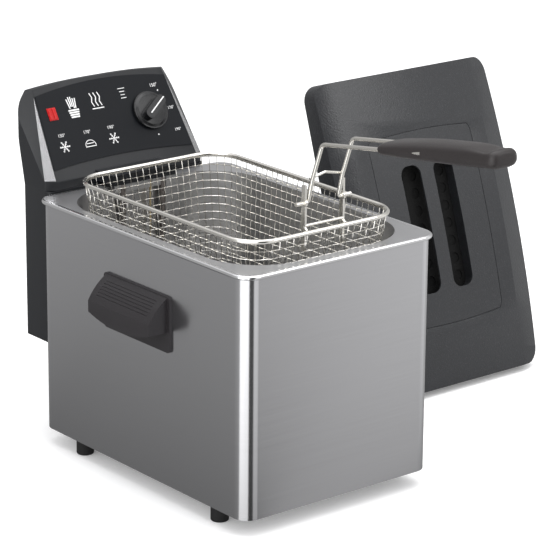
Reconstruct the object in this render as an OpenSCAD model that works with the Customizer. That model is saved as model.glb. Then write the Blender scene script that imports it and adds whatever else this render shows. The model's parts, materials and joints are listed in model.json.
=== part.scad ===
// Deep fryer with a lift-out tank, a rear control unit, a wire basket and a loose lid.
// The casing stands on its feet at Z = 0, its centre is at X = Y = 0, and its front faces -Y.

/* [Casing] */
// Width of the casing, side to side
casing_w = 240; // [210:1:300]
// Depth of the casing, front to back
casing_d = 344; // [310:1:420]
// Height of the casing wall
casing_h = 245; // [220:1:300]
// Outside radius of the casing's upright corners
casing_r = 16; // [12:1:24]
// Thickness of the steel sheet
sheet_t = 0.8; // [0.6:0.1:1.2]
// Width of the lips turned in at the top and bottom of the casing
lip_w = 6; // [4:0.5:8]

/* [Feet] */
// Diameter of a foot
foot_d = 18.5; // [14:0.5:24]
// Height of a foot under the casing
foot_h = 18; // [12:1:25]
// Distance of a foot's centre from the side of the casing
foot_in_x = 14; // [14:1:30]
// Distance of a foot's centre from the front or back of the casing
foot_in_y = 57; // [20:1:80]
// Diameter of the foot screws
foot_screw_d = 4; // [3:0.5:5]

/* [Tank] */
// Width of the tank's mouth
mouth_w = 220; // [190:1:226]
// Depth of the tank's mouth, front to back
mouth_d = 322; // [280:1:330]
// Corner radius of the tank's mouth
mouth_r = 62; // [40:1:80]
// Height of the tank from its floor to its flange
tank_h = 195; // [160:1:205]
// Thickness of the tank's wall
tank_t = 0.8; // [0.6:0.1:1.5]
// Diameter of the rolled edge of the flange
roll_d = 4.6; // [4:0.2:6]

/* [Control unit] */
// Width of the control unit
console_w = 204; // [180:1:220]
// Depth of the housing behind the casing
housing_d = 51; // [44:1:60]
// Height of the housing's underside above the ground
housing_z = 102; // [80:1:130]
// Thickness of the plastic walls
shell_t = 2.5; // [2:0.1:3]
// Lean of the sloping face from upright
face_tilt = 31.4; // [25:0.1:38]
// Length of the sloping face at its middle
face_len = 106; // [98:1:116]
// Rise of the console's arched top from its ends to its middle
arch = 5; // [3:0.5:8]
// Thickness of the control panel plate
panel_t = 1; // [0.6:0.1:2]
// Half width of the neck that carries the element over the tank's edge
neck_half = 38; // [34:1:42]

/* [Knob and lamp] */
// Diameter of the thermostat knob
knob_d = 42; // [34:1:48]
// Height of the thermostat knob
knob_h = 15; // [10:1:20]
// Knob centre from the middle of the panel
knob_x = 50; // [44:1:56]
// Knob centre above the lower edge of the panel
knob_v = 46; // [42:1:50]
// Angle of the pointer at rest, from level
pointer_angle = 35; // [0:5:90]
// Diameter of the thermostat's shaft
shaft_d = 6; // [5:0.5:6.5]
// Radial running clearance of the shaft and of the hinge pins
run_gap = 0.05; // [0.02:0.01:0.09]
// Width of the pilot lamp's lens
lens_w = 11; // [8:0.5:14]
// Height of the pilot lamp's lens
lens_h = 14; // [10:0.5:18]

/* [Heating element] */
// Diameter of the element's tube
element_d = 6.6; // [5:0.1:7]
// Half width of the element's loop
element_half = 78; // [60:1:90]
// Height of the element above the tank's floor
element_up = 9; // [8:1:14]

/* [Basket] */
// Width of the basket at its rim, on the wire's centre line
basket_w = 192; // [170:1:196]
// Depth of the basket at its rim, front to back
basket_d = 296; // [260:1:298]
// Corner radius of the basket's rim
basket_r = 34; // [28:1:40]
// Height of the basket
basket_h = 120; // [100:1:130]
// Inward slope of the basket's walls over its height
basket_taper = 15; // [8:1:20]
// Height of the raised rim above the tank's flange
basket_up = 20.6; // [16:0.1:40]
// Diameter of the rim wire
rim_d = 4.8; // [4:0.1:6]
// Thickness of the mesh wall
mesh_t = 0.6; // [0.5:0.1:1.2]

/* [Basket handle] */
// Distance between the handle's two wires
handle_w = 38; // [34:1:44]
// Diameter of the handle wire
handle_d = 4.2; // [3.6:0.1:5]
// Height of the handle's pivot above the rim
pivot_up = 28.5; // [24:0.5:34]
// Length of the grip
grip_len = 155; // [120:1:180]
// Width of the grip
grip_w = 47; // [44:1:56]
// Rise of the grip from level
grip_rise = 8.6; // [4:0.1:14]

/* [Lid] */
// Overhang of the lid past the casing on each side
lid_over = 6; // [5.5:0.5:9]
// Height of the lid's upright rim at its ends
lid_rim = 17; // [14:1:24]
// Height from the rim to the lid's flat top
lid_bevel_h = 8; // [5:1:12]
// Width of the bevel along each long side
lid_bevel_w = 28; // [20:1:34]
// Bow of the lid's top over its length
lid_bow = 11; // [6:1:16]
// Thickness of the lid's wall
lid_t = 2.5; // [2:0.1:3]
// Thickness of the lid's inner plate
inner_t = 0.5; // [0.4:0.1:1]
// Lean of the lid from upright as it stands beside the casing
lid_lean = 18; // [12:1:25]
// Distance from the casing to the lid
lid_away = 94; // [70:1:120]
// Width of the filter cover
cover_w = 152; // [130:1:160]
// Length of the filter cover
cover_l = 220; // [200:1:230]
// Arch of the filter cover's ends
cover_arch = 4; // [1:0.5:8]
// Gap around the filter cover
cover_gap = 0.6; // [0.4:0.1:1]

/* [Side handles] */
// Length of a side handle
side_len = 110; // [90:1:130]
// Height of a side handle
side_h = 58; // [50:1:66]
// Distance that a side handle stands out
side_out = 25; // [20:1:30]
// Bow of the handle's slope and of its lower lip
side_bow = 2.5; // [1:0.5:4]

/* [Hidden] */
$fn = 48;
e = 0.01;

// Heights
casing_top = foot_h + casing_h;
seat_gap = 0.4;
roll_z = casing_top + seat_gap + roll_d / 2;
flange_top = roll_z + roll_d / 2 - 0.1;
tank_floor = flange_top - tank_h;
rim_z = flange_top + basket_up;
pivot_z = rim_z + pivot_up;
basket_floor = rim_z - basket_h;

// Plan sizes
roll_out = roll_d / 3;
roll_w = casing_w + 2 * roll_out;
roll_len = casing_d + 2 * roll_out;
roll_back = roll_len / 2 + roll_d / 2;

// Control unit: the wall nearest the casing, and the sloping face's lower corner
wall_y = roll_back + 5.6;
housing_y = wall_y - 1.5;
housing_back = housing_y + housing_d;
seam_z = casing_top + 5;
corner_z = flange_top + 9.3;
panel_v0 = 11.5;
panel_half = console_w / 2 - 11;
panel_len = face_len - 22;
wedge_w = 10;
wedge_d = 6.5;
face_top = [wall_y + face_len * sin(face_tilt), corner_z + face_len * cos(face_tilt)];
fillet_r = 2.5;
top_z = face_top[1] + fillet_r * (1 - sin(face_tilt));
console_back = face_top[0] + fillet_r * (1 + cos(face_tilt));
rear_r = 8;
neck_z = flange_top + 3;
neck_h = 11;
leg_z = neck_z + 1.7 + element_d / 2;
neck_front = mouth_d / 2 - 9.7;
leg_y = mouth_d / 2 - 5.6;
leg_x = 26;
switch_at = [-9, roll_back - 0.8];
probe_x = 10;

// Thermostat
thermo_w = 28;
thermo_h = 14;
shaft_top = 12;

// Basket handle: the corners of one wire, seen from the side
pivot_y = -(basket_d / 2 - 7);
handle_bend = 3.5;
bracket_d = 2.4;
bracket_x = handle_w / 2 + handle_bend + bracket_d / 2 + 0.3;
pin_end = bracket_x + 10.5;
wire_low = [pivot_y - 6, pivot_z + 24];
wire_bend = [pivot_y - 20, pivot_z + 62];
wire_run = 82;
grip_start = wire_bend + wire_run * [-cos(grip_rise), sin(grip_rise)];
wire_in = 60;
stop_z = pivot_z + 20;

// Lid
lid_w = casing_w + 2 * lid_over;
lid_l = casing_d + 2 * lid_over;
lid_r = casing_r + 2;
lid_x = casing_w / 2 + lid_away + lid_w / 2;
lid_y = 43;
bow_r = (pow(lid_l / 2, 2) + pow(lid_bow, 2)) / (2 * lid_bow);
lid_top = lid_rim + lid_bevel_h + lid_bow;
slot_w = 28.5;
slot_l = 144;
bar_w = 19;
cover_t = 2.2;
filter_h = 8;
filter_gap = 0.5;

// Side handles
side_mid = foot_h + 171;
side_wall = 2.5;
side_screw_y = side_len / 2 - 17;
side_screw_z = side_mid - side_h / 2 + 24;

// ---------- shared shapes ----------

// Rounded rectangle, centred
module plate2d(w, d, r) {
    square([w - 2 * r, d], center = true);
    square([w, d - 2 * r], center = true);
    for (sx = [-1, 1], sy = [-1, 1])
        translate([sx * (w / 2 - r), sy * (d / 2 - r)]) circle(r);
}

// The same outline as a band of width t
module ring2d(w, d, r, t) {
    difference() {
        plate2d(w, d, r);
        plate2d(w - 2 * t, d - 2 * t, max(r - t, 0.5));
    }
}

// Round rod from point a to point b
module rod(a, b, r) {
    v = b - a;
    translate(a) rotate([0, acos(v[2] / norm(v)), atan2(v[1], v[0])]) cylinder(r = r, h = norm(v));
}

// Quarter-like bend of a round rod at corner p, between unit directions u and v
module elbow(p, u, v, bend, r) {
    turn = acos(u * v);
    n = (v - (u * v) * u) / norm(v - (u * v) * u);
    c = p - u * bend * tan(turn / 2) + n * bend;
    w = cross(-n, u);
    multmatrix([[-n[0], u[0], w[0], c[0]], [-n[1], u[1], w[1], c[1]],
        [-n[2], u[2], w[2], c[2]], [0, 0, 0, 1]])
        rotate_extrude(angle = turn) translate([bend, 0]) circle(r);
}

function way(a, b) = (b - a) / norm(b - a);
function cut_back(p, i, bends) = bends[i] * tan(acos(way(p[i - 1], p[i]) * way(p[i], p[i + 1])) / 2);

// Bent wire through the points p, with one bend radius for all its corners or a list of them
module wire(p, bend, r) {
    n = len(p);
    bends = [for (i = [0 : n - 1]) is_list(bend) ? bend[i] : bend];
    for (i = [0 : n - 2]) {
        u = way(p[i], p[i + 1]);
        a = i == 0 ? p[i] : p[i] + u * (cut_back(p, i, bends) - 0.1);
        b = i == n - 2 ? p[i + 1] : p[i + 1] - u * (cut_back(p, i + 1, bends) - 0.1);
        rod(a, b, r);
    }
    for (i = [1 : n - 2]) elbow(p[i], way(p[i - 1], p[i]), way(p[i], p[i + 1]), bends[i], r - 0.02);
}

// Closed ring of wire on a rounded rectangle, at height z
module wire_ring(w, d, corner, z, r) {
    x = w / 2 - corner;
    y = d / 2 - corner;
    for (s = [-1, 1]) {
        rod([-x, s * d / 2, z], [x, s * d / 2, z], r);
        rod([s * w / 2, -y, z], [s * w / 2, y, z], r);
    }
    for (q = [[1, 1, 0], [-1, 1, 90], [-1, -1, 180], [1, -1, 270]])
        translate([q[0] * x, q[1] * y, z]) rotate(q[2])
            rotate_extrude(angle = 90) translate([corner, 0]) circle(r);
}

// Frame of a leaning face: X stays, Y runs up the face, Z is its outward normal
module on_lean(at, lean) translate(at) rotate([90 - lean, 0, 0]) children();
module on_face() on_lean([0, wall_y, corner_z], face_tilt) children();
module on_lid() on_lean([lid_x, lid_y, 0], lid_lean) translate([0, lid_l / 2, 0]) children();

// Countersunk-free screw along +Z: head below the origin, shank above it
module screw(d, shank, head_h = 2.4) {
    translate([0, 0, -head_h]) difference() {
        cylinder(d = 1.9 * d, h = head_h);
        translate([0, 0, -e]) cylinder(d = 1.1 * d, h = head_h / 2, $fn = 6);
    }
    cylinder(d = d, h = shank);
}

// ---------- casing ----------

module at_feet() {
    for (sx = [-1, 1], sy = [-1, 1])
        translate([sx * (casing_w / 2 - foot_in_x), sy * (casing_d / 2 - foot_in_y), 0]) children();
}

module at_side_screws() {
    for (s = [-1, 1]) translate([casing_w / 2, s * side_screw_y, side_screw_z])
        rotate([0, 90, 0]) children();
}

module casing() {
    color([0.72, 0.72, 0.74]) difference() {
        union() {
            translate([0, 0, foot_h]) linear_extrude(casing_h)
                ring2d(casing_w, casing_d, casing_r, sheet_t);
            for (z = [foot_h, casing_top - sheet_t])
                translate([0, 0, z]) linear_extrude(sheet_t) ring2d(casing_w, casing_d, casing_r, lip_w);
        }
        for (m = [0, 1]) mirror([m, 0, 0]) at_side_screws()
            translate([0, 0, -2 * sheet_t]) cylinder(d = 4.4, h = 4 * sheet_t);
    }
}

module base_plate() {
    color([0.6, 0.6, 0.62]) translate([0, 0, foot_h + sheet_t]) difference() {
        linear_extrude(sheet_t)
            plate2d(casing_w - 2 * sheet_t - 1, casing_d - 2 * sheet_t - 1, casing_r - sheet_t - 0.5);
        at_feet() translate([0, 0, -1]) cylinder(d = foot_screw_d + 0.4, h = 4);
        for (y = [-100 : 25 : 100]) translate([0, y, -1]) linear_extrude(4) plate2d(90, 6, 2.9);
    }
}

module feet() {
    color([0.1, 0.1, 0.1]) at_feet() difference() {
        union() {
            translate([0, 0, 1]) cylinder(d = foot_d, h = foot_h - 1);
            cylinder(d1 = foot_d - 2, d2 = foot_d, h = 1);
            translate([0, 0, foot_h - e]) cylinder(d = foot_d / 2, h = sheet_t + e);
        }
        translate([0, 0, -1]) cylinder(d = 2.2 * foot_screw_d, h = foot_h / 2 + 1);
        cylinder(d = foot_screw_d + 0.4, h = foot_h + 5);
    }
}

module foot_screws() {
    color([0.75, 0.75, 0.77]) at_feet() translate([0, 0, foot_h / 2]) {
        screw(foot_screw_d, foot_h / 2 + 9);
        translate([0, 0, foot_h / 2 + 2 * sheet_t]) difference() {
            cylinder(d = 1.95 * foot_screw_d, h = 3.2, $fn = 6);
            translate([0, 0, -1]) cylinder(d = foot_screw_d, h = 6);
        }
    }
}

// Outline of the hooded grip across its length, o inside its outer surface: out from the casing, and up
function hood_at(f, o) = [f * (side_out - o), side_h - 1.4 * o - f * (side_out - o)]
    + 4 * side_bow * f * (1 - f) * [0.7, 0.7];
function hood(o) = concat([for (i = [0 : 6]) hood_at(i / 6, o)], [[side_out - o, 5], [0, 5]]);

module side_handle() {
    lip_bow = 3.2 * side_bow;
    hood_len = side_len - 8;
    lip_r = (pow(hood_len / 2, 2) + pow(lip_bow, 2)) / (2 * lip_bow);
    translate([casing_w / 2, 0, side_mid - side_h / 2]) difference() {
        union() {
            rotate([90, 0, 90]) linear_extrude(side_wall)
                translate([0, side_h / 2]) plate2d(side_len, side_h, 4);
            difference() {
                intersection() {
                    translate([0, hood_len / 2, 0]) rotate([90, 0, 0])
                        linear_extrude(hood_len) polygon(hood(0));
                    translate([0, 0, 13 + lip_r]) rotate([0, 90, 0])
                        cylinder(r = lip_r, h = side_out + 1, $fn = 144);
                }
                translate([0, hood_len / 2 - side_wall, 0]) rotate([90, 0, 0])
                    linear_extrude(hood_len - 2 * side_wall) polygon(hood(side_wall));
            }
        }
        for (i = [0 : 5]) {
            q = hood_at(0.28 + 0.1 * i, 0);
            translate([q[0], 0, q[1]]) rotate([0, 45, 0]) cube([0.9, side_len - 26, 1.2], center = true);
        }
        for (s = [-1, 1]) translate([-1, s * side_screw_y, side_screw_z - side_mid + side_h / 2])
            rotate([0, 90, 0]) cylinder(d = 4.2, h = side_wall + 2);
    }
}

module side_handle_right() color([0.16, 0.16, 0.17]) side_handle();
module side_handle_left() color([0.16, 0.16, 0.17]) mirror([1, 0, 0]) side_handle();

module handle_screws() {
    color([0.75, 0.75, 0.77]) for (m = [0, 1]) mirror([m, 0, 0])
        at_side_screws() translate([0, 0, -sheet_t]) screw(4, sheet_t + side_wall - 0.5, 2);
}

// ---------- tank ----------

module tank() {
    color([0.55, 0.55, 0.57]) {
        difference() {
            union() {
                translate([0, 0, flange_top - sheet_t]) linear_extrude(sheet_t)
                    plate2d(roll_w, roll_len, casing_r + roll_out);
                translate([0, 0, tank_floor - tank_t]) linear_extrude(tank_h)
                    plate2d(mouth_w + 2 * tank_t, mouth_d + 2 * tank_t, mouth_r + tank_t);
            }
            translate([0, 0, tank_floor]) linear_extrude(tank_h + 5) plate2d(mouth_w, mouth_d, mouth_r);
        }
        wire_ring(roll_w, roll_len, casing_r + roll_out, roll_z, roll_d / 2);
        for (z = [0.35, 0.52]) translate([0, -mouth_d / 2 - tank_t / 2, tank_floor + tank_h * z])
            cube([36, 2 * tank_t, 1.6], center = true);
    }
}

// ---------- control unit ----------

// Console outline from the side, drawn o inside the outer surface
function turned(r, a) = r * [cos(a), sin(a)];
function arc2(c, r, a0, a1, n) = [for (i = [0 : n]) c + turned(r, a0 + (a1 - a0) * i / n)];
function console_side(o) = let (
    t = face_tilt,
    low = [wall_y + o, corner_z - o * tan(t / 2)],
    lip = 5 + o,
    c = face_top + [cos(t), -sin(t)] * fillet_r,
    r = max(fillet_r - o, 0.1))
    concat(
        [[wall_y + o, seam_z - 60]],
        arc2(low + [lip, -lip * tan(t / 2)], lip, 180, 180 - t, 5),
        arc2(c, r, 180 - t, 0, 6),
        [[c[0] + r, corner_z + 38], [housing_back - o, seam_z + 8], [housing_back - o, seam_z - 60]]);

// Console outline from the front
function console_front(o) = let (
    w = console_w / 2 - o,
    r = 9,
    crown = top_z - o)
    concat(
        [[-w, seam_z - 60], [w, seam_z - 60]],
        arc2([w - r, crown - arch - r], r, 0, 80, 5),
        [for (i = [1 : 11]) let (x = (w - r) * (1 - i / 6)) [x, crown - arch * pow(x / (w - r), 2)]],
        arc2([-(w - r), crown - arch - r], r, 100, 180, 5));

// Removes everything beyond the plane through a, b and c, moved o inwards
module beyond(a, b, c, o) {
    x = way(a, b);
    n = cross(x, c - a) / norm(cross(x, c - a));
    y = cross(n, x);
    p = a - n * o;
    multmatrix([[x[0], y[0], n[0], p[0]], [x[1], y[1], n[1], p[1]],
        [x[2], y[2], n[2], p[2]], [0, 0, 0, 1]])
        translate([-150, -150, 0]) cube([300, 300, 80]);
}

// The console as a solid, o inside its outer surface
module console_form(o) {
    head = [panel_half - 6, face_top[0] - 4, face_top[1] - 8];
    foot = [console_w / 2 - wedge_w, wall_y, corner_z];
    ear = [console_w / 2, wall_y + wedge_d, corner_z];
    rear = [console_w / 2, console_back, top_z - 24];
    hip = [console_w / 2, housing_back - 5.5, seam_z];
    difference() {
        intersection() {
            translate([-console_w, 0, 0]) rotate([90, 0, 90]) linear_extrude(2 * console_w)
                polygon(console_side(o));
            translate([0, 400, 0]) rotate([90, 0, 0]) linear_extrude(400) polygon(console_front(o));
            translate([0, console_back - 100 - o, seam_z - 60]) linear_extrude(300)
                plate2d(console_w - 2 * o, 200, max(rear_r - o, 1));
        }
        for (m = [0, 1]) mirror([m, 0, 0]) {
            beyond(foot, ear, head, o);
            beyond(ear, rear, head, o);
            beyond(foot, ear, ear + [0, 0, 50], o);
            beyond(hip, hip + [-5.5, 5.5, 0], [console_w / 2, console_back - 5.4, corner_z + 38], o);
        }
    }
}

module console_cover() {
    color([0.13, 0.13, 0.14]) difference() {
        union() {
            difference() {
                console_form(0);
                console_form(shell_t);
                translate([0, 0, seam_z - 100]) cube([400, 600, 200], center = true);
            }
            // neck over the tank's edge
            translate([-neck_half - shell_t, neck_front, neck_z])
                cube([2 * (neck_half + shell_t), wall_y - neck_front + 6, neck_h]);
            // lugs for the housing screws, joined to the wall above the seam
            for (s = [-1, 1]) translate([s * 60 - 6, housing_back - shell_t - 5.2, 0]) {
                translate([0, 0, seam_z - 12]) cube([12, 5, 20]);
                translate([0, 0, seam_z + 1]) cube([12, 6, 7]);
            }
        }
        // hollow of the neck, open below and to the back
        translate([-neck_half, neck_front + 1.6, neck_z - 5])
            cube([2 * neck_half, wall_y - neck_front + 8, neck_h + 3]);
        on_face() {
            translate([knob_x, panel_v0 + knob_v, -8]) cylinder(d = 12, h = 20);
            translate([-70.5, panel_v0 + 61, 0]) cube([lens_w - 1, lens_h - 1, 20], center = true);
        }
        at_housing_screws() cylinder(d = 2.7, h = 14);
    }
}

module at_housing_screws() {
    for (s = [-1, 1]) translate([s * 60, housing_back, seam_z - 6]) rotate([90, 0, 0]) children();
}

module rear_housing() {
    mid = housing_y + housing_d / 2;
    color([0.13, 0.13, 0.14]) difference() {
        translate([0, mid, housing_z]) linear_extrude(seam_z - housing_z) plate2d(console_w, housing_d, 8);
        translate([0, mid, housing_z + shell_t]) linear_extrude(seam_z)
            plate2d(console_w - 2 * shell_t, housing_d - 2 * shell_t, 8 - shell_t);
        at_housing_screws() translate([0, 0, -1]) cylinder(d = 3.4, h = shell_t + 2);
        at_cutout() translate([0, 0, -1]) cylinder(d = 10.4, h = shell_t + 2);
        translate([gland_x, mid, housing_z - 1]) cylinder(d = 14, h = shell_t + 2);
        for (i = [0 : 7]) translate([20 + 9 * i, housing_back, housing_z + 110])
            cube([3, 3 * shell_t, 60], center = true);
    }
}

gland_x = 60;

module housing_screws() {
    color([0.2, 0.2, 0.2]) at_housing_screws() screw(2.6, 10, 1.8);
}

// Arched panel outline, w and h smaller by 2 * o
module panel2d(o) {
    b = panel_half - o;
    t = panel_half - 6 - o;
    polygon(concat(
        [for (i = [-6 : 6]) [b * i / 6, 5 * (1 - pow(i / 6, 2)) + o]],
        [for (i = [6 : -1 : -6]) [t * i / 6, panel_len + 8 * (1 - pow(i / 6, 2)) - o]]));
}

module control_panel() {
    color([0.06, 0.06, 0.07]) on_face() translate([0, panel_v0, 0.02]) difference() {
        linear_extrude(panel_t) panel2d(1);
        translate([knob_x, knob_v, -1]) cylinder(d = 9, h = 5);
        translate([-70.5, 61, 0]) cube([lens_w, lens_h, 9], center = true);
    }
}

module at_knob() on_face() translate([knob_x, panel_v0 + knob_v, panel_t]) children();

module knob() {
    color([0.05, 0.05, 0.05]) at_knob() difference() {
        union() {
            translate([0, 0, 0.6]) cylinder(d = knob_d, h = 3.4);
            translate([0, 0, 4]) cylinder(d1 = knob_d - 3, d2 = knob_d - 8, h = 2);
            rotate(pointer_angle) translate([0, 0, 4]) linear_extrude(knob_h - 4)
                plate2d(knob_d - 9, 11, 5);
        }
        translate([0, 0, -1]) intersection() {
            cylinder(d = shaft_d + 0.1, h = shaft_top + 1.5);
            translate([-shaft_d, -shaft_d, 0]) cube([2 * shaft_d, 1.25 * shaft_d + 0.05, 40]);
        }
    }
}

module thermostat_shaft() {
    color([0.8, 0.8, 0.8]) at_knob() intersection() {
        translate([0, 0, -panel_t - shell_t - 10])
            cylinder(d = shaft_d, h = shaft_top + panel_t + shell_t + 10);
        union() {
            translate([-shaft_d, -shaft_d, 0.2]) cube([2 * shaft_d, 1.25 * shaft_d, 40]);
            translate([-shaft_d, -shaft_d, -39]) cube([2 * shaft_d, 2 * shaft_d, 39.3]);
        }
    }
}

module thermostat_body() {
    color([0.85, 0.82, 0.74]) at_knob() difference() {
        union() {
            translate([0, 0, -panel_t - shell_t - 1]) cylinder(d = 11.6, h = shell_t + 1);
            translate([0, 0, -panel_t - shell_t - 1]) cylinder(d = 8.4, h = panel_t + shell_t + 1.2);
            translate([-thermo_w / 2, -thermo_w / 2, -panel_t - shell_t - 0.2 - thermo_h])
                cube([thermo_w, thermo_w, thermo_h]);
        }
        translate([0, 0, -panel_t - shell_t - 11]) cylinder(d = shaft_d + 2 * run_gap, h = 20);
    }
}

// Bulb on the tank's floor, capillary up the back wall and over the flange
module thermostat_probe() {
    z = tank_floor + element_up + element_d / 2 + 3.4;
    r = 1.1;
    color([0.78, 0.72, 0.6]) {
        wire([[probe_x, 60, z], [probe_x, leg_y, z], [probe_x, leg_y, leg_z],
            [probe_x, wall_y + 14, leg_z]], 8, r);
        translate([probe_x, 62, z]) rotate([90, 0, 0]) cylinder(d = 6, h = 70);
    }
}

module pilot_lens() {
    color([0.8, 0.05, 0.05]) on_face() translate([-70.5, panel_v0 + 61, 0]) {
        translate([0, 0, panel_t / 2 + 0.4])
            cube([lens_w - 0.3, lens_h - 0.3, panel_t + 0.8], center = true);
        difference() {
            translate([0, 0, -3.5]) cube([lens_w - 1.4, lens_h - 1.4, 7.02], center = true);
            translate([0, 0, -8]) cylinder(d = 6, h = 6);
        }
    }
}

module pilot_lamp() {
    color([0.9, 0.5, 0.2]) on_face() translate([-70.5, panel_v0 + 61, -16]) {
        cylinder(d = 5.6, h = 11);
        translate([0, 0, 11]) sphere(d = 5.6);
        for (s = [-1, 1]) translate([s * 1.3, 0, -5]) cylinder(d = 0.8, h = 5.2);
    }
}

// Two legs down the back wall, then one loop over the floor
module heating_element() {
    z = tank_floor + element_up;
    front = -(mouth_d / 2 - 40);
    back = leg_y - 42;
    color([0.45, 0.45, 0.47]) for (s = [-1, 1]) {
        wire([[s * leg_x, wall_y + 10, leg_z], [s * leg_x, leg_y, leg_z], [s * leg_x, leg_y, z],
            [s * leg_x, back, z], [s * element_half, back, z], [s * element_half, front, z],
            [s * 30, front, z], [s * 30, 30, z], [0, 30, z]], 10, element_d / 2);
    }
}

module element_bracket() {
    w = neck_half - 1;
    y = neck_front + 2.3;
    color([0.7, 0.7, 0.72]) difference() {
        union() {
            translate([-w, y, neck_z]) cube([2 * w, wall_y - y + 14, 1.5]);
            translate([-w, y, flange_top - 6]) cube([2 * w, 1.2, neck_z - flange_top + 6.5]);
        }
        for (s = [-1, 1]) translate([s * leg_x - element_d / 2 - 0.2, y - 1, flange_top - 30])
            cube([element_d + 0.4, 14, 60]);
        translate([probe_x - 1.5, y - 1, flange_top - 30]) cube([3, 12, 60]);
        translate([switch_at[0], switch_at[1], neck_z - 1]) cylinder(d = 4, h = 4);
    }
}

module at_cutout() translate([-60, housing_back, housing_z + 60]) rotate([90, 0, 0]) children();

module safety_cutout() {
    color([0.9, 0.88, 0.82]) at_cutout() difference() {
        union() {
            translate([0, 0, shell_t]) cylinder(d = 20, h = 14);
            for (s = [-1, 1]) translate([s * 6 - 0.4, -3, shell_t + 13.9]) cube([0.8, 6, 8]);
        }
        translate([0, 0, shell_t - 1]) cylinder(d = 11, h = 3.2);
        translate([0, 0, shell_t]) cylinder(d = 4 + 2 * run_gap, h = 20);
    }
}

module reset_button() {
    color([0.7, 0.1, 0.1]) at_cutout() {
        translate([0, 0, -1.2]) cylinder(d = 10, h = 4);
        translate([0, 0, 2.7]) cylinder(d = 4, h = 11);
    }
}

module interlock_switch() {
    color([0.12, 0.12, 0.13]) difference() {
        translate([switch_at[0] - 6, switch_at[1] - 4, neck_z + 1.6]) cube([12, 8, 7]);
        translate([switch_at[0], switch_at[1], neck_z]) cylinder(d = 3 + 2 * run_gap, h = 7.6);
        for (s = [-1, 1]) translate([switch_at[0] + s * 4, switch_at[1] - 5, neck_z + 6])
            rotate([-90, 0, 0]) cylinder(d = 1.8, h = 12);
    }
}

module interlock_plunger() {
    color([0.8, 0.2, 0.15]) translate([switch_at[0], switch_at[1], flange_top + 0.4])
        cylinder(d = 3, h = 8.2);
}

module terminal_block() {
    color([0.92, 0.92, 0.88]) translate([gland_x - 16, housing_back - shell_t - 16, housing_z + 44])
    difference() {
        cube([32, 16, 14]);
        for (i = [0 : 2]) translate([6 + 10 * i, 8, -1]) cylinder(d = 4, h = 20);
    }
}

module cord_gland() {
    color([0.08, 0.08, 0.08]) translate([gland_x, housing_y + housing_d / 2, housing_z]) difference() {
        union() {
            translate([0, 0, -5]) cylinder(d1 = 12, d2 = 17, h = 5);
            translate([0, 0, -e]) cylinder(d = 13.6, h = shell_t + 0.2);
            translate([0, 0, shell_t + 0.1]) cylinder(d = 18, h = 3);
        }
        translate([0, 0, -10]) cylinder(d = 7.4, h = 30);
    }
}

// ---------- basket ----------

// Basket wall as a solid, drawn o inside its outer surface
module basket_form(o, lower) {
    w = basket_w - 2 * basket_taper;
    d = basket_d - 2 * basket_taper;
    hull() {
        translate([0, 0, rim_z - rim_d / 2 - 0.12]) linear_extrude(0.1)
            plate2d(basket_w - 2 * o, basket_d - 2 * o, basket_r, $fn = 32);
        translate([0, 0, basket_floor + lower]) linear_extrude(0.1)
            plate2d(w - 2 * o, d - 2 * o, basket_r - 8, $fn = 32);
    }
}

module basket_rim() color([0.85, 0.85, 0.86]) wire_ring(basket_w, basket_d, basket_r, rim_z, rim_d / 2);

module basket_frame() {
    w = basket_w - 2 * basket_taper;
    d = basket_d - 2 * basket_taper;
    z = basket_floor - 1.7;
    color([0.8, 0.8, 0.82]) {
        wire_ring(w, d, basket_r - 8, z, 1.6);
        for (s = [-1, 1]) rod([s * w / 6, -d / 2, z], [s * w / 6, d / 2, z], 1.6);
    }
}

module basket_mesh() {
    color([0.75, 0.75, 0.76]) difference() {
        basket_form(0, 0);
        basket_form(mesh_t, mesh_t);
        translate([0, 0, rim_z - rim_d / 2 - 0.12]) linear_extrude(2)
            plate2d(basket_w - 2 * mesh_t, basket_d - 2 * mesh_t, basket_r, $fn = 32);
    }
}

// Two uprights with eyes for the handle's pins, and a bar between them
module basket_bracket() {
    eye_r = handle_d / 2 + 2.2;
    rim_at = [0, -basket_d / 2, rim_z];
    foot = [0, pivot_y, rim_z + 5];
    color([0.85, 0.85, 0.86]) difference() {
        union() {
            for (s = [-1, 1]) {
                translate([s * bracket_x - bracket_d / 2, pivot_y - 2.7, rim_z - 20])
                    cube([bracket_d, 5.4, pivot_up + 38]);
                translate([s * bracket_x, pivot_y, pivot_z]) rotate([0, 90, 0])
                    cylinder(r = eye_r, h = bracket_d, center = true);
                translate([s * bracket_x, 0, 0])
                    rod(foot, rim_at + (rim_d / 2 + 0.01) * way(rim_at, foot), 1.6);
            }
            rod([-bracket_x, pivot_y - 1.5, rim_z + 6], [bracket_x, pivot_y - 1.5, rim_z + 6], 1.5);
        }
        translate([0, pivot_y, pivot_z]) rotate([0, 90, 0])
            cylinder(d = handle_d + 2 * run_gap, h = 200, center = true);
    }
}

// ---------- basket handle ----------

module handle_wire() {
    back = grip_start + wire_in * [-cos(grip_rise), sin(grip_rise)];
    x = handle_w / 2;
    color([0.85, 0.85, 0.86]) for (s = [-1, 1])
        wire([[s * pin_end, pivot_y, pivot_z], [s * x, pivot_y, pivot_z], [s * x, wire_low[0], wire_low[1]],
            [s * x, wire_bend[0], wire_bend[1]], [s * x, back[0], back[1]]],
            [0, handle_bend, 20, 8, 0], handle_d / 2);
}

// Cross wire that stops the handle against the bracket and keeps the handle from dropping
module handle_stop() {
    y = wire_low[0] + handle_d / 2 + 1.8;
    color([0.85, 0.85, 0.86]) wire([[-handle_w / 2, y, stop_z + 4], [0, y, stop_z + 8],
        [handle_w / 2, y, stop_z + 4]], 4, 1.4);
}

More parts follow.
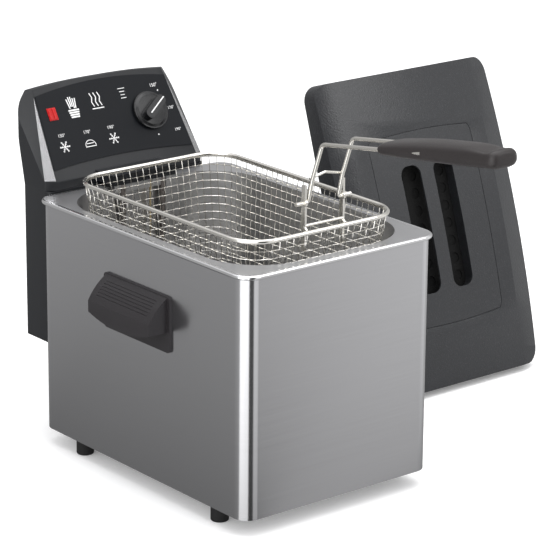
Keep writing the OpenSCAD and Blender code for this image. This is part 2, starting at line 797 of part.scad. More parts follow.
// Grip in its own frame: X across, Y along the grip towards its tip, Z up
module grip() {
    color([0.15, 0.14, 0.14]) translate([0, grip_start[0], grip_start[1]]) rotate([grip_rise, 0, 180])
    difference() {
        hull() {
            for (q = [[0.01, 1, 13, 5, 0], [0.35, 5, 20, 9, 0], [0.8, 11, 21, 9, -1],
                    [0.93, 13, 20, 8, -1.5], [1, 24, 12, 5, -2]])
                translate([0, grip_len * q[0], q[4]]) rotate([90, 0, 0]) linear_extrude(1)
                    plate2d(grip_w - q[1], q[2], q[3], $fn = 32);
        }
        for (s = [-1, 1]) translate([s * handle_w / 2, -1, 0]) rotate([-90, 0, 0])
            cylinder(d = handle_d + 0.1, h = wire_in + 1.5);
    }
}

// ---------- lid ----------

// The bowed and bevelled top, o inside the outer surface; Z = 0 is the plane of the rim
module lid_form(w, l, r, o) {
    half = w / 2;
    flat = lid_w / 2 - lid_bevel_w;
    low = bow_r - lid_bevel_h * (1 + 5 / lid_bevel_w) - o;
    intersection() {
        translate([0, 0, -1]) linear_extrude(80) plate2d(w, l, r);
        translate([0, 0, lid_top - bow_r]) rotate([0, 90, 0]) rotate([0, 0, 180 - 10])
            rotate_extrude(angle = 20, $fn = 360) polygon([
                [bow_r - 60, -half - 5], [bow_r - 60, half + 5], [low, half + 5],
                [bow_r - o, flat], [bow_r - o, -flat], [low, -half - 5]]);
    }
}

// Outline of the filter cover, o smaller all round, with arched ends
module cover2d(o) {
    w = cover_w / 2;
    r = (pow(w, 2) + pow(cover_arch, 2)) / (2 * cover_arch);
    intersection() {
        plate2d(cover_w - 2 * o, cover_l - 2 * o + 1, max(14 - o, 2));
        translate([0, cover_l / 2 - r]) circle(r - o, $fn = 360);
        translate([0, r - cover_l / 2]) circle(r - o, $fn = 360);
    }
}

module lid_shell() {
    color([0.17, 0.17, 0.18]) on_lid() difference() {
        intersection() {
            lid_form(lid_w, lid_l, lid_r, 0);
            linear_extrude(90) plate2d(lid_w, lid_l, lid_r);
        }
        difference() {
            lid_form(lid_w - 2 * lid_t, lid_l - 2 * lid_t, lid_r - lid_t, lid_t);
            // ledge under the edge of the filter cover
            difference() {
                translate([0, 0, lid_rim]) linear_extrude(90) ring2d(cover_w + 8, cover_l + 8, 18, 9);
                lid_form(lid_w, lid_l, lid_r, lid_t + 2.4);
            }
        }
        intersection() {
            linear_extrude(90) cover2d(0);
            difference() {
                translate([0, 0, -5]) linear_extrude(90) plate2d(cover_w + 9, cover_l + 9, 14);
                lid_form(lid_w, lid_l, lid_r, lid_t - 0.1);
            }
        }
        translate([0, 0, -5]) linear_extrude(90) cover2d(5);
    }
}

module lid_inner_plate() {
    color([0.5, 0.5, 0.52]) on_lid() difference() {
        union() {
            translate([0, 0, 2]) linear_extrude(inner_t)
                plate2d(lid_w - 2 * lid_t - 0.6, lid_l - 2 * lid_t - 0.6, lid_r - lid_t);
            translate([0, 0, -6]) linear_extrude(8.3)
                ring2d(mouth_w - 6, mouth_d - 6, mouth_r - 3, inner_t);
        }
        for (x = [-48 : 16 : 48], y = [-80 : 16 : 80]) translate([x, y, -1]) cylinder(d = 7, h = 8);
        at_lid_screws() translate([0, 0, -1]) cylinder(d = 3.4, h = 6);
    }
}

module at_lid_screws() {
    for (sx = [-1, 1], sy = [-1, 1])
        translate([sx * (lid_w / 2 - 24), sy * (lid_l / 2 - 14), 2]) children();
}

module lid_screws() {
    color([0.75, 0.75, 0.77]) on_lid() at_lid_screws() screw(3, 8, 1.8);
}

module lid_seal() {
    color([0.75, 0.2, 0.15]) on_lid() translate([0, 0, -3.4]) linear_extrude(5.2)
        ring2d(mouth_w - 2, mouth_d - 2, mouth_r - 1, 1.9);
}

// Cover between the slots is the bar that fingers hold
module filter_cover() {
    w = cover_w - 2 * cover_gap;
    l = cover_l - 2 * cover_gap;
    color([0.14, 0.14, 0.15]) on_lid() difference() {
        union() {
            intersection() {
                difference() {
                    lid_form(w + 10, l + 10, 14, 0);
                    lid_form(w + 12, l + 12, 14, cover_t);
                }
                linear_extrude(90) cover2d(cover_gap);
            }
            intersection() {
                lid_form(w, l, 14, 1);
                translate([0, 0, filter_z + filter_h]) linear_extrude(80)
                    ring2d(slot_area_w, slot_l + 8, 13, 2);
            }
        }
        for (s = [-1, 1]) translate([s * (bar_w + slot_w) / 2, 0, 0])
            linear_extrude(90) plate2d(slot_w, slot_l, 11);
    }
}

slot_area_w = bar_w + 2 * slot_w + 8;
filter_z = 12;

module grease_filter() {
    color([0.6, 0.62, 0.62]) on_lid() translate([0, 0, filter_z]) difference() {
        linear_extrude(filter_h - filter_gap) plate2d(cover_w - 16, cover_l - 24, 8);
        for (x = [-50 : 20 : 50], y = [-80 : 20 : 80])
            translate([x, y, filter_h - 2]) cylinder(d = 12, h = 5);
    }
}

casing();
base_plate();
feet();
foot_screws();
side_handle_left();
side_handle_right();
handle_screws();
tank();
rear_housing();
console_cover();
control_panel();
housing_screws();
knob();
thermostat_shaft();
thermostat_body();
thermostat_probe();
pilot_lens();
pilot_lamp();
heating_element();
element_bracket();
safety_cutout();
reset_button();
interlock_switch();
interlock_plunger();
terminal_block();
cord_gland();
basket_rim();
basket_frame();
basket_mesh();
basket_bracket();
handle_wire();
handle_stop();
grip();
lid_shell();
lid_inner_plate();
lid_seal();
lid_screws();
filter_cover();
grease_filter();
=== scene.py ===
# %% [markdown]
# # A deep fryer, finished in Blender
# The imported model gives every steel, plastic and wire part at its true size and
# place. This notebook adds what makes it look real: brushed steel, speckled
# plastic, a woven basket, a printed control panel, and a small studio.

# %% Load the frame
import json
from math import atan2, cos, degrees, pi, radians, sin

import bmesh
import bpy
from mathutils import Matrix, Vector


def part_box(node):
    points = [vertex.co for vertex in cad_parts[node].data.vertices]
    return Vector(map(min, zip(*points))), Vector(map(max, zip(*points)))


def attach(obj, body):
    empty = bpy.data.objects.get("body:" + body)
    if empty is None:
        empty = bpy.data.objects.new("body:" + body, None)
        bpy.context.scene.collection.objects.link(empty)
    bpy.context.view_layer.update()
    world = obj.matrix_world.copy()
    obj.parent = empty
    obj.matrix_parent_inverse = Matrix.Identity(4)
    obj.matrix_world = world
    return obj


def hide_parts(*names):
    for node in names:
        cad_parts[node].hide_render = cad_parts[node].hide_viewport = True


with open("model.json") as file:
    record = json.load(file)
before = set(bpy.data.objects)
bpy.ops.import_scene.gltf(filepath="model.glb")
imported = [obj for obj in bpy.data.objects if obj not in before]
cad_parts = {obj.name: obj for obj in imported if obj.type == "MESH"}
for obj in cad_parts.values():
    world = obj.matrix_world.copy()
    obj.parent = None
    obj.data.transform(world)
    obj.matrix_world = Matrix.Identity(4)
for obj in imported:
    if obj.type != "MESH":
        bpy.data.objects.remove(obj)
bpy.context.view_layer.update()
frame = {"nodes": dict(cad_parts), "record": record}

parts = frame["nodes"]
scene = bpy.context.scene
X, Z = Vector((1, 0, 0)), Vector((0, 0, 1))

# %% [markdown]
# ## The camera
# A long lens far away keeps the casing's edges nearly parallel, as in a
# catalogue. The camera is described by its turn and height round the fryer,
# its distance, and how far it stands aside and above the line through the
# fryer's middle.

# %% Camera
AZIMUTH, ELEVATION, ROLL = radians(-39.15), radians(17.63), radians(0.53)
DISTANCE, ASIDE, ABOVE = 2.881, 0.0489, 0.173
LENS, FOOT_HEIGHT = 178.3, 0.018

back = Vector((sin(AZIMUTH) * cos(ELEVATION), -cos(AZIMUTH) * cos(ELEVATION), sin(ELEVATION)))
level = (-back).cross(Z).normalized()
upright = level.cross(-back)
right = cos(ROLL) * level + sin(ROLL) * upright
up = cos(ROLL) * upright - sin(ROLL) * level

lens = bpy.data.cameras.new("camera")
lens.lens, lens.sensor_width = LENS, 36
lens.clip_start, lens.clip_end = 0.1, 60
camera = bpy.data.objects.new("camera", lens)
scene.collection.objects.link(camera)
stand = back * DISTANCE + right * ASIDE + up * ABOVE + Z * FOOT_HEIGHT
camera.matrix_world = Matrix.Translation(stand) @ Matrix((right, up, back)).transposed().to_4x4()
scene.camera = camera
print("camera at", tuple(round(v, 3) for v in camera.matrix_world.translation))

# %% [markdown]
# ## Node helpers
# Every finish below is a small node tree. These helpers make nodes and join
# them, so that each material reads as a short recipe.

# %% Node helpers
def add(tree, kind, inputs=None, **settings):
    """A node of that kind. inputs maps a socket's name or number to a value or another node's output."""
    node = tree.nodes.new("ShaderNode" + kind)
    for name, value in settings.items():
        setattr(node, name, value)
    for name, value in (inputs or {}).items():
        if isinstance(value, bpy.types.NodeSocket):
            tree.links.new(value, node.inputs[name])
        else:
            node.inputs[name].default_value = value
    return node


def math_node(tree, operation, a, b=0.0, clamp=False):
    return add(tree, "Math", {0: a, 1: b}, operation=operation, use_clamp=clamp).outputs[0]


def ramp(tree, value, stops, interpolation="LINEAR"):
    """A colour ramp through (place, brightness or colour) stops."""
    node = add(tree, "ValToRGB", {0: value})
    band = node.color_ramp
    band.interpolation = interpolation
    for i, (place, colour) in enumerate(stops):
        stop = band.elements[i] if i < 2 else band.elements.new(place)
        stop.position = place
        stop.color = (colour,) * 3 + (1,) if isinstance(colour, (int, float)) else (*colour, 1)
    return node.outputs[0]


def mixed(tree, factor, a, b):
    node = add(tree, "Mix", {"Factor": factor}, data_type="RGBA")
    for socket, value in ((node.inputs[6], a), (node.inputs[7], b)):
        if isinstance(value, bpy.types.NodeSocket):
            tree.links.new(value, socket)
        else:
            socket.default_value = (*value, 1) if len(value) == 3 else value
    return node.outputs[2]


def place(tree, scale=(1, 1, 1), at=(0, 0, 0), turn=(0, 0, 0)):
    """Object coordinates, stretched by scale."""
    where = add(tree, "TexCoord").outputs["Object"]
    settings = {"Vector": where, "Scale": scale, "Location": at, "Rotation": turn}
    return add(tree, "Mapping", settings).outputs[0]


def noise(tree, scale, detail=4, stretch=(1, 1, 1), roughness=0.5):
    where = place(tree, stretch)
    settings = {"Vector": where, "Scale": scale, "Detail": detail, "Roughness": roughness}
    return add(tree, "TexNoise", settings).outputs[0]


def finish(name, colour, metallic=0.0, roughness=0.5, **sockets):
    """A new material with a Principled shader; returns the material, its tree and the shader."""
    material = bpy.data.materials.new(name)
    material.use_nodes = True
    tree = material.node_tree
    shader = tree.nodes["Principled BSDF"]
    shader.inputs["Base Color"].default_value = (*colour, 1)
    shader.inputs["Metallic"].default_value = metallic
    shader.inputs["Roughness"].default_value = roughness
    for socket, value in sockets.items():
        shader.inputs[socket.replace("_", " ")].default_value = value
    material.diffuse_color = (*colour, 1)
    return material, tree, shader


def bump(tree, shader, height, strength, distance):
    node = add(tree, "Bump", {"Height": height, "Strength": strength, "Distance": distance})
    tree.links.new(node.outputs[0], shader.inputs["Normal"])


# %% [markdown]
# ## The studio
# Brushed steel shows little of itself: it shows the room. So the room is a
# ring of light and dark round the fryer's near corner, as soft boxes and
# black cards would make in a studio. The ring is given by angle, counted
# from straight left towards the front, and both the sky and the floor that
# the steel mirrors follow it. The eye sees only a plain pale floor.

# %% Ring of light and dark
RING = [(-180, 0.55), (-135, 0.5), (-95, 0.36), (-52, 0.38), (-20, 0.45), (-9, 0.6), (-4, 1.9), (50, 1.9),
        (57, 1.5), (60, 0.1), (88, 0.08), (93, 0.85), (117, 0.9), (122, 0.42), (130, 0.56), (142, 0.75),
        (165, 0.9), (180, 0.6)]


def ring_light(tree, x, y):
    minus_x, minus_y = (math_node(tree, "MULTIPLY", value, -1.0) for value in (x, y))
    angle = math_node(tree, "ARCTAN2", minus_y, minus_x)
    turn = math_node(tree, "ADD", math_node(tree, "DIVIDE", angle, 2 * pi), 0.5)
    return ramp(tree, turn, [((a + 180) / 360, min(b / 2, 1.0)) for a, b in RING])


# %% Sky
world = bpy.data.worlds.new("studio")
scene.world = world
world.use_nodes = True
sky = world.node_tree
direction = add(sky, "SeparateXYZ", {0: add(sky, "TexCoord").outputs["Generated"]})
ring = ring_light(sky, direction.outputs[0], direction.outputs[1])
height = math_node(sky, "ADD", math_node(sky, "MULTIPLY", direction.outputs[2], 0.5), 0.5)
dome = mixed(sky, ramp(sky, height, [(0.72, 0.0), (0.9, 1.0)]), ring, (0.55, 0.55, 0.56))
path = add(sky, "LightPath")
seen = mixed(sky, path.outputs["Is Glossy Ray"], (0.5, 0.5, 0.505), dome)
seen = mixed(sky, path.outputs["Is Camera Ray"], seen, (0.5, 0.5, 0.5))
sky.links.new(seen, sky.nodes["Background"].inputs[0])
sky.nodes["Background"].inputs[1].default_value = 2.0

# %% Floor
NEAR_CORNER = (-0.108, -0.160)

mesh = bpy.data.meshes.new("floor")
bm = bmesh.new()
bmesh.ops.create_grid(bm, x_segments=1, y_segments=1, size=20)
bm.to_mesh(mesh)
bm.free()
floor = bpy.data.objects.new("floor", mesh)
scene.collection.objects.link(floor)

pale, tree, shader = finish("pale_floor", (0.92, 0.92, 0.92), roughness=0.9, Specular_IOR_Level=0.0)
shader.inputs["Emission Color"].default_value = (1, 1, 1, 1)
shader.inputs["Emission Strength"].default_value = 0.16
spot = add(tree, "SeparateXYZ", {0: add(tree, "TexCoord").outputs["Object"]})
aside = math_node(tree, "SUBTRACT", spot.outputs[0], NEAR_CORNER[0])
ahead = math_node(tree, "SUBTRACT", spot.outputs[1], NEAR_CORNER[1])
glow = ring_light(tree, aside, ahead)
# Painted shade: as the steel mirrors it, the floor grows darker towards the casing. This stands in for the
# shade round the fryer's foot, so the casing's faces mirror it darker low down.
out_x = math_node(tree, "SUBTRACT", math_node(tree, "ABSOLUTE", spot.outputs[0]), 0.12)
out_y = math_node(tree, "SUBTRACT", math_node(tree, "ABSOLUTE", spot.outputs[1]), 0.172)
away = math_node(tree, "MAXIMUM", out_x, out_y)
distance = math_node(tree, "DIVIDE", away, 0.9, clamp=True)
painted_floor_shade = ramp(tree, distance, [(0.0, 0.42), (0.35, 0.7), (1.0, 1.15 / 1.2)])
strength = math_node(tree, "MULTIPLY", painted_floor_shade, 2.4)
mirrored = add(tree, "Emission", {"Color": mixed(tree, 1.0, (0, 0, 0), glow), "Strength": strength})
glossy = add(tree, "LightPath").outputs["Is Glossy Ray"]
switch = add(tree, "MixShader", {0: glossy, 1: shader.outputs[0], 2: mirrored.outputs[0]})
tree.links.new(switch.outputs[0], tree.nodes["Material Output"].inputs[0])
mesh.materials.append(pale)

# %% Lamps
def soft_box(name, at, target, width, height, power, colour=(1, 1, 1)):
    lamp = bpy.data.lights.new(name, "AREA")
    lamp.shape, lamp.size, lamp.size_y = "RECTANGLE", width, height
    lamp.energy, lamp.color = power, colour
    made = bpy.data.objects.new(name, lamp)
    scene.collection.objects.link(made)
    aim = (Vector(at) - Vector(target)).to_track_quat("Z", "Y")
    made.matrix_world = Matrix.Translation(at) @ aim.to_matrix().to_4x4()
    return made


soft_box("top_light", (0.2, -0.1, 2.4), (0.1, 0, 0.2), 2.4, 2.4, 36)
soft_box("front_light", (1.2, -2.0, 1.7), (0.1, 0, 0.2), 1.4, 1.4, 14)
soft_box("left_light", (-2.0, -0.6, 1.1), (0, 0, 0.25), 0.9, 1.6, 9)
scene.view_settings.view_transform = "Standard"
print("studio ready")

# %% [markdown]
# ## Finishes
# One recipe for each real surface.

# %% Brushed steel
def brushed_steel(name, colour, roughness, streaks=1.0):
    """Grain runs level round the casing, so reflections stay sharp sideways and smear up and down."""
    steel, tree, shader = finish(name, colour, 1.0, roughness, Anisotropic=0.75, Anisotropic_Rotation=0.25)
    grain = noise(tree, 1.0, 3, (9, 9, 3200))
    cloud = noise(tree, 5.0, 3)
    tint = ramp(tree, grain, [(0.3, tuple(c * (1 - 0.05 * streaks) for c in colour)), (0.7, colour)])
    tree.links.new(tint, shader.inputs["Base Color"])
    rough = math_node(tree, "ADD", math_node(tree, "MULTIPLY", grain, 0.07 * streaks),
                      math_node(tree, "MULTIPLY", cloud, 0.06))
    tree.links.new(math_node(tree, "ADD", rough, roughness - 0.09), shader.inputs["Roughness"])
    around = add(tree, "Tangent", direction_type="RADIAL", axis="Z")
    tree.links.new(around.outputs[0], shader.inputs["Tangent"])
    bump(tree, shader, grain, 0.03 * streaks, 0.0002)
    return steel


def drawn_steel(name, colour, roughness):
    """Pressed sheet: a satin surface with faint clouds and no grain."""
    steel, tree, shader = finish(name, colour, 1.0, roughness)
    cloud = noise(tree, 30, 4)
    tree.links.new(math_node(tree, "ADD", math_node(tree, "MULTIPLY", cloud, 0.10), roughness - 0.05),
                   shader.inputs["Roughness"])
    bump(tree, shader, noise(tree, 900, 2), 0.03, 0.0002)
    return steel


ROLL_WIDTH = 0.0015


def tank_steel():
    """Satin flange and walls with a polished roll round the edge, told apart by place."""
    steel, tree, shader = finish("tank_steel", (0.56, 0.56, 0.57), 1.0, 0.36)
    spot = add(tree, "SeparateXYZ", {0: add(tree, "TexCoord").outputs["Object"]})
    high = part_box("casing")[1]
    past = [math_node(tree, "SUBTRACT", math_node(tree, "ABSOLUTE", spot.outputs[i]), high[i] - ROLL_WIDTH)
            for i in (0, 1)]
    edge = math_node(tree, "MAXIMUM", past[0], past[1])
    roll = math_node(tree, "MULTIPLY", edge, 900, clamp=True)
    cloud = math_node(tree, "MULTIPLY", noise(tree, 40, 4), 0.10)
    satin = math_node(tree, "ADD", cloud, 0.30)
    rough = add(tree, "Mix", {"Factor": roll, 2: satin, 3: 0.16}, data_type="FLOAT").outputs[0]
    tree.links.new(rough, shader.inputs["Roughness"])
    tree.links.new(mixed(tree, roll, (0.55, 0.55, 0.56), (0.82, 0.82, 0.83)), shader.inputs["Base Color"])
    return steel


def bright_wire(name="bright_wire"):
    """Plated wire, faintly warm, with tiny ripples from drawing."""
    plate, tree, shader = finish(name, (0.83, 0.81, 0.76), 1.0, 0.16)
    ripple = noise(tree, 700, 2)
    rough = math_node(tree, "ADD", math_node(tree, "MULTIPLY", ripple, 0.12), 0.10)
    tree.links.new(rough, shader.inputs["Roughness"])
    bump(tree, shader, ripple, 0.06, 0.0001)
    return plate


# %% Plastics and the rest
def moulded(name, colour, roughness, grain_size=0.0006, depth=0.15, specular=0.45):
    """Moulded plastic: a fine grain in the mould gives a soft sheen."""
    plastic, tree, shader = finish(name, colour, 0.0, roughness, Specular_IOR_Level=specular)
    grain = noise(tree, 1 / grain_size, 2)
    cloud = noise(tree, 18, 3)
    tree.links.new(math_node(tree, "ADD", math_node(tree, "MULTIPLY", cloud, 0.12), roughness - 0.06),
                   shader.inputs["Roughness"])
    darker, lighter = tuple(c * 0.8 for c in colour), tuple(min(c * 1.2, 1) for c in colour)
    tint = ramp(tree, grain, [(0.35, darker), (0.65, lighter)])
    tree.links.new(tint, shader.inputs["Base Color"])
    bump(tree, shader, grain, depth, 0.0003)
    return plastic


def speckled():
    """The lid's pebbled black: shallow round bumps that each catch a spark of light."""
    plastic, tree, shader = finish("speckled_plastic", (0.014, 0.015, 0.017), 0.0, 0.30,
                                   Specular_IOR_Level=0.55)
    cells = add(tree, "TexVoronoi", {"Vector": place(tree), "Scale": 620.0}, feature="SMOOTH_F1")
    pebbles = cells.outputs["Distance"]
    fine = noise(tree, 1500, 2)
    height = math_node(tree, "ADD", math_node(tree, "MULTIPLY", pebbles, -1.0),
                       math_node(tree, "MULTIPLY", fine, 0.4))
    patches = noise(tree, 900, 3)
    flecks = ramp(tree, patches, [(0.0, (0.014, 0.0147, 0.0165)), (0.58, (0.021, 0.022, 0.0245)),
                                  (0.68, (0.042, 0.044, 0.048))])
    tree.links.new(flecks, shader.inputs["Base Color"])
    bump(tree, shader, height, 0.35, 0.0005)
    return plastic


STEEL = brushed_steel("brushed_steel", (0.60, 0.60, 0.615), 0.25)
PLAIN_STEEL = drawn_steel("plain_steel", (0.6, 0.6, 0.61), 0.38)
TANK = tank_steel()
WIRE = bright_wire()
CONSOLE = moulded("console_plastic", (0.014, 0.015, 0.017), 0.38, specular=0.32)
PANEL = moulded("panel_film", (0.005, 0.006, 0.008), 0.40, 0.0004, 0.04, 0.16)
HANDLE = moulded("handle_plastic", (0.020, 0.018, 0.020), 0.44, 0.0007, 0.25, 0.36)
GRIP = moulded("grip_plastic", (0.022, 0.0185, 0.0185), 0.40, 0.0006, 0.35, 0.36)
KNOB = moulded("knob_plastic", (0.008, 0.0085, 0.0095), 0.26, 0.0005, 0.06, 0.45)
LID = speckled()
RUBBER = moulded("foot_rubber", (0.014, 0.014, 0.014), 0.7, 0.0008, 0.3, 0.3)
CERAMIC = moulded("ceramic", (0.78, 0.75, 0.68), 0.6, 0.0008, 0.1)
SEAL = moulded("seal_rubber", (0.32, 0.07, 0.05), 0.6, 0.0008, 0.1)
RED = moulded("red_plastic", (0.5, 0.02, 0.02), 0.3, 0.0006, 0.05)
BRASS = drawn_steel("probe_brass", (0.72, 0.6, 0.38), 0.35)
ELEMENT = drawn_steel("heated_steel", (0.22, 0.20, 0.19), 0.48)
SCREWS = drawn_steel("screw_steel", (0.62, 0.62, 0.62), 0.3)
FELT = moulded("filter_felt", (0.012, 0.012, 0.012), 0.95, 0.0009, 0.6, 0.1)
LENS_RED, _, lens_shader = finish("lens_red", (0.42, 0.004, 0.004), 0.0, 0.3, Specular_IOR_Level=0.3)
lens_shader.inputs["Emission Color"].default_value = (0.6, 0.004, 0.004, 1)
lens_shader.inputs["Emission Strength"].default_value = 0.06
# Painted highlight: a bright silver sheet on each sloping chamfer of the console stands in for the glare of
# light on its dark plastic.
PAINTED_GLARE = drawn_steel("painted_glare_silver", (0.86, 0.86, 0.87), 0.22)
LAMP = finish("lamp_glass", (0.9, 0.55, 0.4), 0.0, 0.08)[0]
WHITE = finish("panel_ink", (0.78, 0.78, 0.78), 0.0, 0.5)[0]

FINISHES = {
    "casing": STEEL, "base_plate": PLAIN_STEEL, "feet": RUBBER, "foot_screws": SCREWS,
    "side_handle_left": HANDLE, "side_handle_right": HANDLE, "handle_screws": SCREWS, "tank": TANK,
    "rear_housing": CONSOLE, "console_cover": CONSOLE, "control_panel": PANEL, "housing_screws": SCREWS,
    "knob": KNOB, "thermostat_shaft": SCREWS, "thermostat_body": CERAMIC, "thermostat_probe": BRASS,
    "pilot_lens": LENS_RED, "pilot_lamp": LAMP, "heating_element": ELEMENT, "element_bracket": PLAIN_STEEL,
    "safety_cutout": CERAMIC, "reset_button": RED, "interlock_switch": KNOB, "interlock_plunger": RED,
    "terminal_block": CERAMIC, "cord_gland": CONSOLE, "basket_rim": WIRE, "basket_frame": WIRE,
    "basket_mesh": WIRE, "basket_bracket": WIRE, "handle_wire": WIRE, "handle_stop": WIRE, "grip": GRIP,
    "lid_shell": LID, "lid_inner_plate": PLAIN_STEEL, "lid_seal": SEAL, "lid_screws": SCREWS,
    "filter_cover": LID, "grease_filter": FELT,
}
for name, material in FINISHES.items():
    parts[name].data.materials.clear()
    parts[name].data.materials.append(material)
print(len(FINISHES), "parts have a finish")

# %% [markdown]
# ## Softened edges
# Sheet metal and mouldings never have knife edges, and the thin line of light
# along an edge is what makes a moulding read as real. A copy of a part is
# merged, its flat areas are joined up, and a Bevel modifier rounds what is
# left sharp.

# %% Softened copies
BODY_OF = {node: body for body, members in frame["record"]["behaviour"]["bodies"].items() for node in members}


def shown(name, bm, material, body, smooth=True):
    """A bmesh becomes a piece that rides on a body."""
    mesh = bpy.data.meshes.new(name)
    bm.to_mesh(mesh)
    bm.free()
    mesh.materials.append(material)
    for polygon in mesh.polygons:
        polygon.use_smooth = smooth
    piece = bpy.data.objects.new(name, mesh)
    scene.collection.objects.link(piece)
    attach(piece, body)
    return piece


def softened(node, width, segments=3, angle=35):
    bm = bmesh.new()
    bm.from_mesh(parts[node].data)
    bmesh.ops.remove_doubles(bm, verts=bm.verts, dist=2e-6)
    bmesh.ops.dissolve_limit(bm, angle_limit=radians(0.6), verts=bm.verts, edges=bm.edges)
    piece = shown("soft_" + node, bm, FINISHES[node], BODY_OF[node])
    edge = piece.modifiers.new("edge", "BEVEL")
    edge.width, edge.segments, edge.limit_method = width, segments, "ANGLE"
    edge.angle_limit, edge.use_clamp_overlap = radians(angle), True
    edge.harden_normals = True
    piece.data.set_sharp_from_angle(angle=radians(40))
    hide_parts(node)
    return piece


SOFT_EDGES = {"console_cover": 0.0012, "rear_housing": 0.001, "side_handle_left": 0.0012,
              "side_handle_right": 0.0012, "lid_shell": 0.0022, "filter_cover": 0.0012,
              "feet": 0.0008, "knob": 0.0007}
for node, width in SOFT_EDGES.items():
    softened(node, width)
print("softened", len(SOFT_EDGES), "parts")

# %% [markdown]
# ## The woven basket
# A fry basket is woven from thin crimped wire and pressed to shape. The wall
# starts as an open cylinder, cut into a grid and reshaped to the basket's
# rounded outline; the floor is a flat grid whose corners are pulled in. Each
# crossing sits a little in or out, as in a weave, and a Wireframe modifier
# turns every edge into wire.

# %% Basket outline
RIM_LOW, RIM_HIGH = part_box("basket_mesh")
WIRE_PITCH, WIRE_THICK = 0.0086, 0.0011
TOP_CORNER, FLOOR_CORNER, FLARE = 0.034, 0.026, 0.015


def outline(turn, width, depth, corner):
    """The point a share of the way round a rounded rectangle."""
    straight_x, straight_y = width - 2 * corner, depth - 2 * corner
    arc = pi / 2 * corner
    way = turn % 1.0 * (2 * straight_x + 2 * straight_y + 4 * arc)
    runs = [(straight_y, width / 2, -straight_y / 2, 0), (straight_x, straight_x / 2, depth / 2, 90),
            (straight_y, -width / 2, straight_y / 2, 180), (straight_x, -straight_x / 2, -depth / 2, 270)]
    for length, x, y, heading in runs:
        ahead = Vector((-sin(radians(heading)), cos(radians(heading)), 0))
        outward = Vector((cos(radians(heading)), sin(radians(heading)), 0))
        start = Vector((x, y, 0))
        if way <= length:
            return start + ahead * way, outward
        way -= length
        if way <= arc:
            bend = way / corner
            middle = start + ahead * length - outward * corner
            out = outward * cos(bend) + ahead * sin(bend)
            return middle + out * corner, out
        way -= arc
    return Vector((width / 2, -straight_y / 2, 0)), X


# %% Basket weave
wide, deep = RIM_HIGH.x - RIM_LOW.x, RIM_HIGH.y - RIM_LOW.y
tall = RIM_HIGH.z - RIM_LOW.z
around_count = round((2 * (wide + deep) - (8 - 2 * pi) * TOP_CORNER) / WIRE_PITCH)
rows = round(tall / WIRE_PITCH)
bm = bmesh.new()
bmesh.ops.create_cone(bm, cap_ends=False, segments=around_count, radius1=1, radius2=1, depth=1)
upright_edges = [edge for edge in bm.edges if abs(edge.verts[0].co.z - edge.verts[1].co.z) > 0.5]
bmesh.ops.subdivide_edges(bm, edges=upright_edges, cuts=rows - 1, use_grid_fill=True)
for vert in bm.verts:
    turn = atan2(vert.co.y, vert.co.x) / (2 * pi)
    level = vert.co.z + 0.5
    lean = 2 * FLARE * (1 - level)
    spot, out = outline(turn, wide - lean, deep - lean, FLOOR_CORNER + (TOP_CORNER - FLOOR_CORNER) * level)
    crimp = 0.0005 if (round(turn * around_count) + round(level * rows)) % 2 else -0.0005
    inset = 0.0012 if 0 < level < 1 else 0.0009
    vert.co = spot - out * (inset - (crimp if 0 < level < 1 else 0))
    vert.co.z = RIM_LOW.z + WIRE_THICK + (tall - WIRE_THICK) * level
floor_grid = bmesh.ops.create_grid(bm, x_segments=round((wide - 2 * FLARE) / WIRE_PITCH),
                                   y_segments=round((deep - 2 * FLARE) / WIRE_PITCH), size=0.5)["verts"]
half_x, half_y = wide / 2 - FLARE - 0.001, deep / 2 - FLARE - 0.001
for vert in floor_grid:
    spot = Vector((vert.co.x * 2 * half_x, vert.co.y * 2 * half_y, 0))
    centre = Vector((max(-half_x + FLOOR_CORNER, min(half_x - FLOOR_CORNER, spot.x)),
                     max(-half_y + FLOOR_CORNER, min(half_y - FLOOR_CORNER, spot.y)), 0))
    reach = spot - centre
    if reach.length > FLOOR_CORNER:
        spot = centre + reach.normalized() * FLOOR_CORNER
    vert.co = spot + Z * (RIM_LOW.z + WIRE_THICK)
weave = shown("basket_weave", bm, WIRE, "basket", smooth=False)
wires = weave.modifiers.new("wires", "WIREFRAME")
wires.thickness, wires.use_even_offset, wires.use_replace = WIRE_THICK, False, True
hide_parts("basket_mesh")
print("weave:", around_count, "wires round,", rows, "rows")

# %% [markdown]
# ## The grip
# The grip is a hand-sized moulding: flat and wide where the wires enter,
# rounder in the middle, with a dip for the thumb and a raised lip at the tip.
# One rounded outline is extruded from station to station along the grip, and
# a Subdivision Surface modifier smooths it.

# %% Grip
GRIP_START, GRIP_RISE, GRIP_LENGTH = Vector((0, -0.2421, 0.3913)), radians(8.6), 0.1545
GRIP_STATIONS = [  # share of the length; width, height, drop and dip in millimetres
    (0.0, 40, 10, 0, 0), (0.008, 45, 12.6, 0, 0), (0.06, 46, 13.6, 0, 0), (0.2, 44.5, 16.5, 0, 0),
    (0.36, 42, 19.2, 0, 0), (0.6, 38.5, 20.2, -0.5, 0), (0.8, 36, 20.6, -1, 0),
    (0.87, 35, 19.4, -1.4, -2.2), (0.92, 34.5, 19.0, -1.9, -2.8), (0.955, 34, 18.8, -2.2, 0.2),
    (0.98, 31, 16.8, -2.2, 0.2), (0.997, 24, 12.5, -2, 0), (1.0, 15, 7, -2, 0)]
along = Vector((0, -cos(GRIP_RISE), sin(GRIP_RISE)))
over = X.cross(along) * -1
bm = bmesh.new()
ring_verts = bmesh.ops.create_circle(bm, segments=20, radius=1)["verts"]
angles = [atan2(v.co.y, v.co.x) for v in ring_verts]


def grip_ring(verts, station):
    share, width, height, drop, dip = station
    for vert, angle in zip(verts, angles):
        across = abs(cos(angle)) ** 0.62 * (1 if cos(angle) > 0 else -1) * width / 2
        upward = abs(sin(angle)) ** 0.75 * (1 if sin(angle) > 0 else -1) * height / 2
        if upward > 0 and abs(across) < width * 0.42:
            upward += dip
        middle = GRIP_START + along * (GRIP_LENGTH * share)
        vert.co = middle + X * (across / 1000) + over * ((upward + drop) / 1000)


